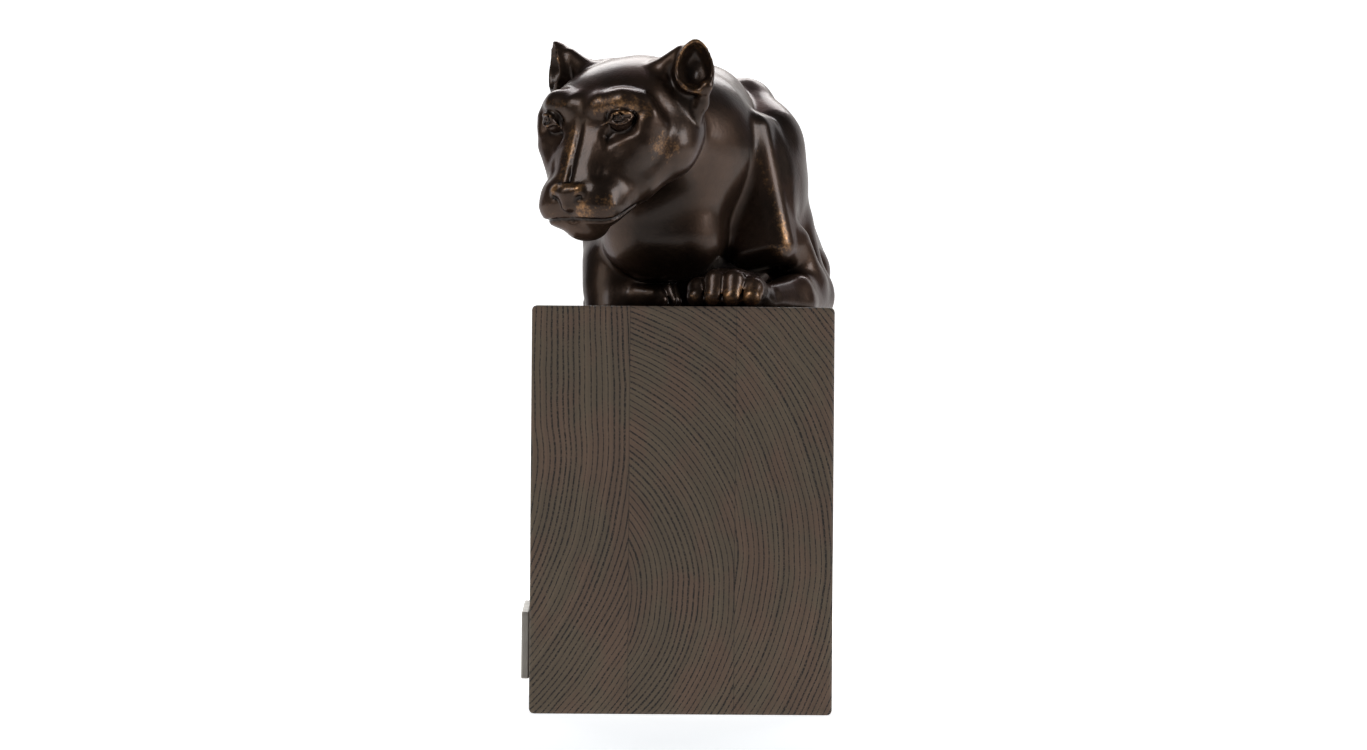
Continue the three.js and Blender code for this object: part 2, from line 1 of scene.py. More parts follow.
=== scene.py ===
"""A crouching big cat cast in bronze on a tall oblong plinth of stained wood, with a small metal plate.

The scene is in metres and in the part's own frame: +Z up, the plinth's long side along Y, and the cat
looking towards -Y with its head turned towards -X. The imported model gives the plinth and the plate,
which only get their materials here. The cat is made again from the same soft shapes as its solid, on a
finer grid, with finer shapes for the eyelids, irises, nostrils and lips. Its shapes are in millimetres
and in the cat's own frame, whose floor is the plinth's top.
"""
import math

import bpy
import numpy as np
from mathutils import Matrix, Vector

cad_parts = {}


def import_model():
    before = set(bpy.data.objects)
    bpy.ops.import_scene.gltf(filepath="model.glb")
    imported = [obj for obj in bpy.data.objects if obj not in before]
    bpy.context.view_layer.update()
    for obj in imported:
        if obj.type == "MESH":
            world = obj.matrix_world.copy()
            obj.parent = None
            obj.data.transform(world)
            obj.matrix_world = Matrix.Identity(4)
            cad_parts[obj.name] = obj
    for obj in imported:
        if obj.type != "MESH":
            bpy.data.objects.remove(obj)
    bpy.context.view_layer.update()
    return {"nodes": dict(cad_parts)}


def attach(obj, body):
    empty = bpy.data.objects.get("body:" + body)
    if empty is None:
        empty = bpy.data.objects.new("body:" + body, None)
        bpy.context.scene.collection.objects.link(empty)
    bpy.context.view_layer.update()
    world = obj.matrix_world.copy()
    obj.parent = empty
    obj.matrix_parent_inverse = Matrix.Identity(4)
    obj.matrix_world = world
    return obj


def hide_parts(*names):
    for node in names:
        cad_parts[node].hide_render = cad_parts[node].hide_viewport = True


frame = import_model()


# Soft shapes
#
# A shape is a distance function, negative inside, with the width over which it blends into the shapes
# before it in the list. A carved shape is taken out of them instead.

TINY = 1e-9  # keeps a division from zero
FAR_AWAY = 1e3


def facing(yaw, pitch=0, roll=0):
    """Axes forward, side (the cat's left) and up of what faces -Y. Yaw turns it towards -X."""
    y, p, r = (math.radians(angle) for angle in (yaw, pitch, roll))
    level = np.array([-math.sin(y), -math.cos(y), 0])
    side = np.array([math.cos(y), -math.sin(y), 0])
    forward = level * math.cos(p) + np.array([0, 0, -math.sin(p)])
    up = level * math.sin(p) + np.array([0, 0, math.cos(p)])
    return (forward, side * math.cos(r) - up * math.sin(r), up * math.cos(r) + side * math.sin(r))


ahead = facing(0)


def soft(distance, blend):
    return {"distance": distance, "blend": blend, "carved": False}


def carve(shape):
    return {**shape, "carved": True}


def taper(start, start_radius, end, end_radius, blend):
    """A round rod with round ends, whose radius changes evenly along it."""
    start = np.array(start, float)
    u = np.array(end, float) - start
    square = float(u @ u)

    def distance(x, y, z):
        px, py, pz = x - start[0], y - start[1], z - start[2]
        t = np.clip((px * u[0] + py * u[1] + pz * u[2]) / square, 0, 1)
        to_axis = np.sqrt((px - u[0] * t) ** 2 + (py - u[1] * t) ** 2 + (pz - u[2] * t) ** 2)
        return to_axis - start_radius - (end_radius - start_radius) * t

    return soft(distance, blend)


def chain(points, radii, blend):
    """Tapers from each point to the next."""
    ends = zip(points, radii, points[1:], radii[1:])
    return [taper(a, a_radius, b, b_radius, blend) for a, a_radius, b, b_radius in ends]


def oval(centre, radii, axes, blend):
    centre = np.array(centre, float)

    def distance(x, y, z):
        px, py, pz = x - centre[0], y - centre[1], z - centre[2]
        squares = 0
        slopes = 0
        for axis, radius in zip(axes, radii):
            q = (px * axis[0] + py * axis[1] + pz * axis[2]) / radius
            squares = squares + q * q
            slopes = slopes + q * q / (radius * radius)
        inside = np.sqrt(squares)
        return inside * (inside - 1) / (np.sqrt(slopes) + TINY)

    return soft(distance, blend)


def block(centre, halves, axes, rounding, blend):
    """A box of these half lengths along its axes, with rounded edges."""
    centre = np.array(centre, float)

    def distance(x, y, z):
        px, py, pz = x - centre[0], y - centre[1], z - centre[2]
        outside = 0
        deepest = None
        for axis, half in zip(axes, halves):
            q = np.abs(px * axis[0] + py * axis[1] + pz * axis[2]) - (half - rounding)
            outside = outside + np.maximum(q, 0) ** 2
            deepest = q if deepest is None else np.maximum(deepest, q)
        return np.sqrt(outside) + np.minimum(deepest, 0) - rounding

    return soft(distance, blend)


def cup(centre, radii, axes, wall, blend, narrowing=0.24):
    """A half oval, flat side forward, hollowed from that side and narrower towards its top."""
    centre = np.array(centre, float)
    lean = 0.4  # how far the hollow moves forward, as a share of the wall
    rim_blend, hollow_blend = 2.5, 2

    def distance(x, y, z):
        px, py, pz = x - centre[0], y - centre[1], z - centre[2]
        front, side, up = (px * a[0] + py * a[1] + pz * a[2] for a in axes)
        side = side / (1 - narrowing * np.clip(up / radii[2], -1, 1))

        def shell(inset):
            moved = (front - inset * lean, side, up)
            q = [value / (radius - inset) for value, radius in zip(moved, radii)]
            n = np.sqrt(q[0] ** 2 + q[1] ** 2 + q[2] ** 2)
            slope = np.sqrt(sum((value / (radius - inset)) ** 2 for value, radius in zip(q, radii))) + TINY
            return n * (n - 1) / slope

        half = merge(shell(0), -front, rim_blend, True)
        return merge(half, shell(wall), hollow_blend, True)

    return soft(distance, blend)


def merge(d, near, blend, carved):
    """The distance to both shapes together, or to the first with the second carved out."""
    if carved:
        h = np.maximum(blend - np.abs(-near - d), 0) / blend
        return np.maximum(d, -near) + h * h * (blend / 4)
    h = np.maximum(blend - np.abs(near - d), 0) / blend
    return np.minimum(d, near) - h * h * (blend / 4)


# The surface of a sum of shapes
#
# Space is cut into blocks. Each counts only the shapes that are near it, as told from its middle.

BLOCK_CELLS = 8
BLOCKS_AT_ONCE = 1500
DEEP = 5  # the value given to whole blocks far from the surface
MARGIN = 2


def distance_grid(shapes, low, high, step):
    """Distances on the corners of a grid, cut off below the floor."""
    size = step * BLOCK_CELLS
    counts = np.ceil((np.array(high) - low) / size).astype(int)
    reach = size * math.sqrt(3) / 2
    blocks = np.stack(np.meshgrid(*[np.arange(k) for k in counts], indexing="ij"), -1).reshape(-1, 3)
    middles = (low + (blocks + 0.5) * size).astype(np.float32)
    total = np.full(len(middles), FAR_AWAY, np.float32)
    each = []
    for shape in shapes:
        near = shape["distance"](middles[:, 0], middles[:, 1], middles[:, 2]).astype(np.float32)
        each.append(near)
        total = merge(total, near, shape["blend"], shape["carved"])
    at_surface = (np.abs(total) < reach * 1.5 + MARGIN) & (middles[:, 2] > -size)

    grid = np.where(total < 0, -DEEP, DEEP).astype(np.float32).reshape(counts)
    for axis in range(3):
        grid = grid.repeat(BLOCK_CELLS, axis)
    grid = np.pad(grid, ((0, 1),) * 3, mode="edge")
    chosen = np.where(at_surface)[0]
    corners = np.stack(np.meshgrid(*[np.arange(BLOCK_CELLS + 1)] * 3, indexing="ij"), -1).reshape(-1, 3)
    for start in range(0, len(chosen), BLOCKS_AT_ONCE):
        some = chosen[start:start + BLOCKS_AT_ONCE]
        index = (blocks[some][:, None, :] * BLOCK_CELLS + corners[None]).astype(np.int32)
        p = (low + index * step).astype(np.float32)
        d = np.full(p.shape[:2], FAR_AWAY, np.float32)
        for shape, near in zip(shapes, each):
            limit = 2.6 * reach if shape["carved"] else total[some] + 2.4 * reach
            k = np.where(near[some] < limit + shape["blend"] + MARGIN)[0]
            if len(k):
                q = p[k]
                found = shape["distance"](q[..., 0], q[..., 1], q[..., 2])
                d[k] = merge(d[k], found, shape["blend"], shape["carved"])
        grid[index[..., 0], index[..., 1], index[..., 2]] = np.maximum(d, -p[..., 2])
    return grid


def crossings(grid, inside, axis):
    """Cells' corners whose edge along this axis crosses the surface, and the points where it does."""
    first, second = [slice(None)] * 3, [slice(None)] * 3
    first[axis], second[axis] = slice(0, -1), slice(1, None)
    index = np.argwhere(inside[tuple(first)] != inside[tuple(second)])
    for other in (k for k in range(3) if k != axis):
        index = index[(index[:, other] > 0) & (index[:, other] < grid.shape[other] - 1)]
    beyond = index.copy()
    beyond[:, axis] += 1
    here, there = grid[tuple(index.T)], grid[tuple(beyond.T)]
    points = index.astype(np.float64)
    points[:, axis] += here / (here - there)
    return index, points, here


def surface_of(shapes, low, high, step):
    """Points and four-sided faces of the sum's surface. Each crossed cell has one point."""
    low = np.array(low, float)
    grid = distance_grid(shapes, low, high, step)
    inside = grid < 0
    cells = np.array(grid.shape) - 1
    stride = np.array([cells[1] * cells[2], cells[2], 1])
    keys, points, faces = [], [], []
    for axis in range(3):
        index, crossed, here = crossings(grid, inside, axis)
        one, two = (k for k in range(3) if k != axis)
        around = []
        for step_one, step_two in ((-1, -1), (0, -1), (0, 0), (-1, 0)):
            cell = index.copy()
            cell[:, one] += step_one
            cell[:, two] += step_two
            around.append(cell @ stride)
            points.append(crossed)
        keys += around
        face = np.stack(around, 1)
        turn = (here < 0) if axis == 1 else (here > 0)
        face[turn] = face[turn][:, ::-1]
        faces.append(face)
    unique, inverse = np.unique(np.concatenate(keys), return_inverse=True)
    points = np.concatenate(points)
    count = np.bincount(inverse)
    means = np.stack([np.bincount(inverse, points[:, k]) / count for k in range(3)], 1)
    return low + means * step, np.searchsorted(unique, np.concatenate(faces))


def field_at(shapes, points):
    """The distance to the sum of the shapes at each of many points."""
    size = 12.0
    keys = np.floor(points / size).astype(np.int64)
    order = np.lexsort(keys.T)
    sorted_keys = keys[order]
    fresh = np.diff(sorted_keys, axis=0, prepend=sorted_keys[:1] - 1)
    starts = np.flatnonzero(np.any(fresh, axis=1))
    ends = np.append(starts[1:], len(points))
    middles = (sorted_keys[starts] + 0.5) * size
    reach = size * math.sqrt(3) / 2
    each = [shape["distance"](*middles.T) for shape in shapes]
    total = np.full(len(middles), FAR_AWAY)
    for shape, near in zip(shapes, each):
        total = merge(total, near, shape["blend"], shape["carved"])
    result = np.empty(len(points))
    for n, (start, end) in enumerate(zip(starts, ends)):
        chosen = order[start:end]
        p = points[chosen]
        d = np.full(len(chosen), FAR_AWAY)
        for shape, near in zip(shapes, each):
            limit = 2.4 * reach + shape["blend"] + MARGIN + (0 if shape["carved"] else total[n])
            if near[n] < limit:
                d = merge(d, shape["distance"](*p.T), shape["blend"], shape["carved"])
        result[chosen] = d
    return result


# The cat's form, in its own frame

SHOULDERS = 10  # how far to the cat's left the middle of its shoulders lies
HIPS = 19  # and the middle of its hips
sides = (-1, 1)  # the cat's right and left
at = np.array


def trunk():
    return [
        block([-6, 88, 60], [39, 31, 46], facing(8), 24, 12),  # chest
        taper([-18, 68, 66], 24, [-9, 72, 42], 20, 14),  # throat
        oval([11, 160, 52], [72, 45, 56], ahead, 24),  # ribs
        oval([15, 235, 48], [86, 43, 50], ahead, 24),  # belly
        oval([HIPS, 325, 57], [76, 41, 52], ahead, 24),  # loins
        oval([HIPS, 392, 46], [48, 37, 43], ahead, 22),  # rump
        *chain([[-22, 48, 90], [0, 88, 84], [6, 130, 90]], [31, 36, 30], 16),  # neck
        *chain([[12, 112, 104], [16, 200, 90], [17, 300, 88]], [20, 18, 20], 18),  # back
    ]


def fore_limbs():
    shapes = []
    for s in sides:
        upper = [SHOULDERS + s * 27, 87, 60]
        back, top, front = SHOULDERS + s * 22, SHOULDERS + s * 24, SHOULDERS + s * 34
        blade = [[back, 178, 90], [top, 138, 105], [front, 112, 87]]
        shapes += [
            block(upper, [14, 18, 40], facing(24 * s, 0, -13 * s), 10.5, 5),
            *chain(blade, [15, 15.5, 18], 4),
            oval([SHOULDERS + s * 37.5, 122, 63], [41, 19.5, 42], facing(0, -6), 8),
        ]
    shapes += [
        carve(taper([26, 60, 17], 2.5, [76, 70, 19.5], 2.2, 3)),  # fold above the left forearm
        *chain([[65, 114, 6], [56, 76, 3.5], [40, 46, 2.5]], [15.5, 12.5, 9], 5),  # left forearm
        *chain([[67, 100, 15], [60, 74, 10.5], [46, 50, 6]], [6.2, 4.5, 4], 5),  # its upper edge
        taper([64, 117, 12], 13, [55, 122, 42], 15, 8),  # left elbow
        taper([58, 92, 34], 9, [64, 100, 14], 11, 6),
        taper([-35, 116, 46], 16, [-34.5, 96, 12], 14.2, 9),  # right forearm, upright
        taper([-34.5, 96, 24], 14.2, [-34, 89, -2], 14.7, 6),
    ]
    return shapes + paw([22.5, 27, 0], 13, 1.08) + paw([-12, 84, 0], -70, 0.8)


def paw(place, yaw, size):
    """A pad and four arched toes, with a gap carved between each two."""
    axes = facing(yaw)
    forward, side, up = axes

    def point(f, s, u):
        return at(place, float) + (forward * f + side * s + up * u) * size

    shapes = [
        oval(point(-9, 0, 7), [19 * size, 17 * size, 11 * size], axes, 6),
        oval(point(-1, 0, 5.5), [11 * size, 16.5 * size, 9.5 * size], axes, 4),
    ]
    for toe in (-1.5, -0.5, 0.5, 1.5):
        reach = 11 - 1.5 * toe * toe
        top = 14 - 1.8 * toe * toe
        root, knuckle = point(reach - 16, toe * 8, top - 0.5), point(reach - 4, toe * 8.6, top - 1.5)
        line = [root, knuckle, point(reach, toe * 8.7, 4.5)]
        shapes += chain(line, [4.8 * size, 4.9 * size, 4.6 * size], 2)
    for gap in (-1, 0, 1):
        reach = 15 - 1.5 * gap * gap
        low, high = point(reach, gap * 8.7, 1), point(reach - 13, gap * 8.3, 19)
        shapes.append(carve(taper(low, 0.7 * size, high, 0.5, 1.2)))
    return shapes


def hind_limbs():
    shapes = []
    for s in sides:
        knee, ankle = HIPS + s * 47, HIPS + s * 40
        shapes += [
            oval([HIPS + s * 34, 308, 60], [64, 21, 49], facing(0, 8), 10),  # haunch
            taper([HIPS + s * 37, 280, 46], 21, [knee, 232, 23], 17.5, 10),  # thigh
            taper([knee, 234, 20], 16, [ankle, 330, 14], 12, 6),  # shin
            *chain([[ankle, 345, 14], [HIPS + s * 43, 300, 7], [HIPS + s * 45, 236, 7]], [11, 10, 10], 6),
            *paw([HIPS + s * 45, 226, 0], -4 * s, 0.9),
        ]
    return shapes


def tail():
    """Down from the rump, then in an arc on the plinth, towards the cat's right."""
    middle, arc_radius, turn = (-38, 458), 56, 94
    places = [k / 8 for k in range(9)]
    arc = []
    for t in places:
        angle = math.radians(turn * t)
        x, y = middle[0] + arc_radius * math.cos(angle), middle[1] + arc_radius * math.sin(angle)
        arc.append([x, y, 8 + 11 * (1 - t) ** 3])
    down = chain([[19, 418, 54], [19, 440, 36], arc[0]], [14, 12, 10.5], 4)
    return down + chain(arc, [10.5 - 2.7 * t for t in places], 1)


# The head, in a frame of its own: forward, to the cat's left and up, round the skull's middle

SKULL = at([-32.2, 24, 101])
head_axes = facing(33, 27)
level_axes = facing(33)  # the muzzle keeps level
GAZE_FORWARD, GAZE_SIDE, GAZE_UP = 0.747, 0.545, 0.381
GAZE_TOP = (-0.454, 0, 0.891)
EYE_RADIUS = 6.2


def turned(p, start=0):
    """From the head's directions to the cat's, added to a starting point."""
    return start + head_axes[0] * p[0] + head_axes[1] * p[1] + head_axes[2] * p[2]


def in_head(p):
    return turned(p, SKULL)


def head_oval(centre, radii, blend, axes=head_axes):
    return oval(in_head(centre), radii, axes, blend)


def head_taper(start, start_radius, end, end_radius, blend):
    return taper(in_head(start), start_radius, in_head(end), end_radius, blend)


def head_chain(points, radii, blend):
    return chain([in_head(p) for p in points], radii, blend)


def carved_chain(points, radii, blend):
    return [carve(shape) for shape in head_chain(points, radii, blend)]


def unit(v):
    v = at(v, float)
    return v / np.linalg.norm(v)


def head():
    shapes = [
        head_oval([-6, 0, 0], [34, 30.5, 18], 12),  # cranium
        head_oval([9, 0, 5.5], [24.5, 28, 13.5], 12),  # forehead
        head_taper([18, 0, -8], 21, [38, 0, -20], 17, 8),  # face
        head_oval([48.5, 0, -30.5], [18, 19.5, 11.5], 6, level_axes),  # muzzle
        head_oval([54, 0, -40.8], [12.5, 11, 8.5], 3.5, level_axes),  # chin
    ]
    for s in sides:
        shapes += cheek(s)
    for s in sides:
        shapes.append(bridge_facet(s))
    for s in sides:
        whisker_pad = [[51.5, s * 11.5, -25], [53.5, s * 10.8, -29.5], [43, s * 13.8, -30]]
        shapes += [
            *head_chain(whisker_pad, [9, 11, 9.4], 5),
            *carved_chain([[46.5, s * 14.4, -2.3], [54, s * 15, -12]], [2.6, 2], 6),  # beside the bridge
            carve(head_taper([37.5, s * 14.5, -0.5], 1.4, [32.5, s * 26, 1.5], 1.4, 5)),  # under the eye
            *eye(s),
        ]
    nose = [[62.4, -6.4, -18.6], [63.4, 0, -19.2], [62.4, 6.4, -18.6]]
    shapes += [
        *head_chain(nose, [2.8, 3.2, 2.8], 2.5),
        head_taper([63, 0, -20], 4.2, [65.5, 0, -25], 3, 2.5),
    ]
    for s in sides:
        shapes += [
            head_taper([60.5, s * 8, -20.5], 2.4, [58, s * 9, -19], 2.2, 2),  # wing of the nostril
            carve(head_taper([68, s * 4.2, -22.5], 1.1, [64.5, s * 7.6, -21.5], 1.1, 1)),  # nostril
            *mouth_line(s),
            head_taper([-19, s * 20, 5], 11, [-21, s * 29, 9], 7, 6),
            *ear(s),
        ]
    left_ear_foot = [[-10.4, 46.5, 4], [-9, 42, -5], [-6, 37.5, -12]]
    shapes += head_chain(left_ear_foot, [2.4, 2.7, 2.2], 4)
    shapes.append(carve(head_taper([69.5, 0, -26], 0.9, [71.5, 0, -32], 1.1, 1.2)))  # cleft of the lip
    return shapes


def cheek(s):
    """One side's cheek, jaw, cheekbone, brow, side of the muzzle, and rim under the eye."""
    bone = [[20, s * 29, -3], [28, s * 25, -9], [34, s * 18.5, -15], [41, s * 13.5, -23]]
    rim = [[21.5, s * 31, 3.5], [25, s * 28.5, -0.5], [30.5, s * 22.5, -4.5], [35, s * 16, -6.5]]
    return [
        head_oval([1, s * 22.5, -18.5], [26, 18, 19], 10),
        *head_chain([[46, s * 10, -32], [30, s * 17.5, -27], [8, s * 25, -22]], [8.5, 11, 13.5], 8),
        *head_chain(bone, [6.5, 6.3, 6.3, 6.3], 8),
        *head_chain([[28.5, s * 8, 12.5], [25, s * 19, 12], [19.5, s * 26.5, 8.6]], [3.4, 3.6, 3.6], 9),
        *head_chain([[42.5, s * 10, -10.5], [40.5, s * 12.5, -19], [41, s * 14, -28]], [5.5, 6, 6.5], 6),
        *head_chain(rim, [2.5] * 4, 6),
    ]


def bridge_facet(s):
    """One of the two facets of the nose's bridge, which meet in a low ridge."""
    slope = 0.28  # radians, down to each side
    line = unit([25.6, 0, -22.7])
    top = unit([22.7, 0, 25.6])
    roof = top * math.cos(slope) + at([0, s * math.sin(slope), 0])
    axes = [turned(line), turned(np.cross(line, roof)), turned(roof)]
    return block(in_head(at([44.6, s * 6, -10.7]) - top * 0.8), [20.5, 6.6, 6.5], axes, 2.4, 2.2)


def eye_centre(s):
    return [29.5, s * 19.2, 5.3]


def gaze(s):
    return [GAZE_FORWARD, s * GAZE_SIDE, GAZE_UP]


def on_eye(s, across, rise, radius=6.4):
    """A point on the eyeball, from its place to the side of and above the middle, seen along the gaze."""
    depth = math.sqrt(max(radius * radius - across * across - rise * rise, 9))
    out = [-0.485, s * 0.839, -0.247]
    parts = zip(eye_centre(s), gaze(s), out, GAZE_TOP)
    return [c + look * depth + o * across + top * rise for c, look, o, top in parts]


def eye(s):
    """An eyeball in an almond socket, with its lids, the ring of the iris and the pupil."""
    look = unit(gaze(s))
    top = unit(at(GAZE_TOP) - look * (look @ at(GAZE_TOP)))
    socket_axes = (turned(look), turned(np.cross(look, top)), turned(top))
    socket = [c + forward * 1.5 for c, forward in zip(eye_centre(s), gaze(s))]
    last = 9
    upper, lower = [], []
    for k in range(last + 1):
        t = k / last
        across, line = -5.4 + 11.2 * t, -1.6 + 2.5 * t
        corner = k in (0, last)
        rise = 0 if corner else 3 * math.sin(math.pi * t ** 0.6) ** 0.6
        fall = 0 if corner else 2.7 * math.sin(math.pi * t) ** 0.8
        upper.append(on_eye(s, across, line + rise))
        lower.append(on_eye(s, across, line - fall))
    angles = np.linspace(0, 2 * math.pi, 13)
    ring = [on_eye(s, -1.2 + 2.2 * math.cos(a), 0.2 + 2.2 * math.sin(a), 6.15) for a in angles]
    pupil = in_head(on_eye(s, -1.2, 0.2, EYE_RADIUS))
    return [
        carve(head_oval(socket, [6.8, 7.3, 4.5], 2.5, socket_axes)),
        head_oval(eye_centre(s), [EYE_RADIUS] * 3, 1.8),
        *head_chain(upper, [0.7] * len(upper), 1.3),
        *head_chain(lower, [0.5] * len(lower), 1.2),
        *head_chain([lower[0], [39, s * 10.6, 4.6]], [0.7, 0.6], 1.6),  # inner corner
        *carved_chain(ring, [0.4] * len(ring), 0.5),
        carve(taper(pupil, 0.9, pupil + turned([0.2, 0, 0.1]), 0.9, 0.5)),
    ]


def mouth_line(s):
    front = [[65, 0, -33.3], [65.4, s * 8, -33.4], [64.4, s * 14, -34.2]]
    corner = [[60.5, s * 18.3, -35.8], [52, s * 21.3, -36.6], [40, s * 22.8, -36.8]]
    return carved_chain(front + corner, [0.9, 1, 1, 1, 1, 0.8], 1.2)


def ear(s):
    """A cupped ear, open outward, forward and towards its root, with its roots on skull and cheek."""
    mouth = unit([0.6, s * 0.72, 0.34])
    long = unit([-0.527, s * -0.03, 0.85])
    side = unit(np.cross(long, mouth) * s)
    axes = (turned(mouth), turned(side), turned(long))
    centre = at([-11.4, s * 43, 16.4]) + long * (-1.4 if s > 0 else 0)
    inner = centre + mouth * 1.5
    return [
        *head_chain([[-11, s * 21.5, 12.5], [-16, s * 33, 20]], [6, 4], 5),
        *head_chain([[-14, s * 36, 8], [-11, s * 32, -7]], [6.5, 8], 6),
        cup(in_head(centre), [14, 10.2, 13.8], axes, 2.4, 3.5),
        carve(oval(in_head(inner), [11, 7.8, 11], axes, 1.5)),
        carve(head_taper(inner, 6.3, centre + mouth * 3 - side * 13 - long * 5, 3, 3)),
    ]


def all_shapes():
    return [*trunk(), *hind_limbs(), *tail(), *fore_limbs(), *head()]


# The cat's mesh

CAT_PLACE = (0, -272, 202.3)  # of the cat's frame in the part's, in millimetres
GRID_STEP = 1.1
MOST_FACES = 180_000
NEAR = 0.35  # how far beside a vertex the field is read for its normal
WIDE = 1.6  # and for how it bulges
STANDING = 0.6  # below this height the surface rests on the plinth
MOST_BULGE = 1.5


def cat_mesh():
    low, high = at([-80.0, -32, -5]), at([100.0, 540, 142])
    points, quads = surface_of(all_shapes(), low, high, GRID_STEP)
    mesh = bpy.data.meshes.new("cat_surface")
    mesh.from_pydata(((points + CAT_PLACE) / 1000).tolist(), [], quads.tolist())
    mesh.validate()
    return mesh


def thinned(obj, most):
    """Joins faces where the surface is plain until at most this many triangles are left."""
    triangles = sum(len(p.vertices) - 2 for p in obj.data.polygons)
    if triangles > most:
        thinner = obj.modifiers.new("thin", "DECIMATE")
        thinner.ratio = most / triangles
        with bpy.context.temp_override(object=obj, active_object=obj, selected_objects=[obj]):
            bpy.ops.object.modifier_apply(modifier=thinner.name)


def surface_values(obj):
    """Every vertex's place in the cat's frame, the field's own normal and how sharply it bulges there."""
    mesh = obj.data
    co = np.empty(len(mesh.vertices) * 3, np.float32)
    mesh.vertices.foreach_get("co", co)
    points = co.reshape(-1, 3).astype(np.float64) * 1000 - CAT_PLACE
    shapes = all_shapes()

    def beside(axis, offset):
        moved = points.copy()
        moved[:, axis] += offset
        return field_at(shapes, moved)

    gradient = np.zeros_like(points)
    bulge = -6 * field_at(shapes, points)
    for axis in range(3):
        for sign in (-1, 1):
            gradient[:, axis] += sign * beside(axis, sign * NEAR)
            bulge += beside(axis, sign * WIDE)
    bulge /= WIDE * WIDE
    length = np.linalg.norm(gradient, axis=1, keepdims=True)
    normals = gradient / np.maximum(length, TINY)
    normals[points[:, 2] < STANDING] = (0, 0, -1)
    return points, normals, bulge


def on_head(*points):
    return [in_head(p) for p in points]


def rubbing(points):
    """How far the patina is rubbed off at each point, 0 to 1, from strokes laid over the form."""
    strokes = [
        (on_head((42, -5, 3), (60, -4, -14)), 9, 0.36),  # bridge of the nose
        (on_head((62, -7, -17), (62, 7, -17)), 5.5, 0.5),  # nose
        (on_head((63, 8, -27), (58, 17, -27)), 9, 0.5),  # left whisker pad
        (on_head((63, -9, -28), (60, -15, -28)), 6, 0.3),  # right whisker pad
        (on_head((33, 9, 14), (30, 21, 13), (24, 30, 9)), 8, 0.34),  # left brow
        (on_head((38, 4, 12), (30, 10, 19)), 5, 0.3),  # furrow
        (on_head((34, -9, 16), (30, -20, 15)), 4, 0.25),  # right brow
        (on_head((24, 31, 4), (28, 27, -5), (36, 19, -8)), 5, 0.42),  # rim under the eye
        (on_head((24, 32, -12), (20, 34, -16)), 12, 0.42),  # cheek
        (on_head((-14, 42, 22), (-8, 42, 8)), 12, 0.35),  # inside the left ear
        (([39, 68, 80], [48, 67, 55], [57, 68, 26]), 6, 0.45),  # edge of the upper arm
        (([44, 66, 30], [60, 70, 27]), 6, 0.3),  # its lower end
        (([22, 14, 6], [37, 15, 5]), 8, 0.45),  # toes
        (([5, 17, 5], [14, 14, 5]), 7, 0.2),
    ]
    total = np.zeros(len(points))
    for line, width, amount in strokes:
        for shape in chain(line, [0.5] * len(line), 1):
            near = np.clip(1 - shape["distance"](*points.T) / width, 0, 1)
            total = np.maximum(total, amount * near * near * (3 - 2 * near))
    return total


def build_cat():
    cat = bpy.data.objects.new("cat_surface", cat_mesh())
    bpy.context.scene.collection.objects.link(cat)
    thinned(cat, MOST_FACES)
    points, normals, bulge = surface_values(cat)
    mesh = cat.data
    mesh.polygons.foreach_set("use_smooth", [True] * len(mesh.polygons))
    mesh.normals_split_custom_set_from_vertices(normals.tolist())
    for name, values in (("bulge", np.clip(bulge, -MOST_BULGE, MOST_BULGE)), ("rubbed", rubbing(points))):
        attribute = mesh.attributes.new(name, "FLOAT", "POINT")
        attribute.data.foreach_set("value", values.astype(np.float32))
    return cat


# Materials

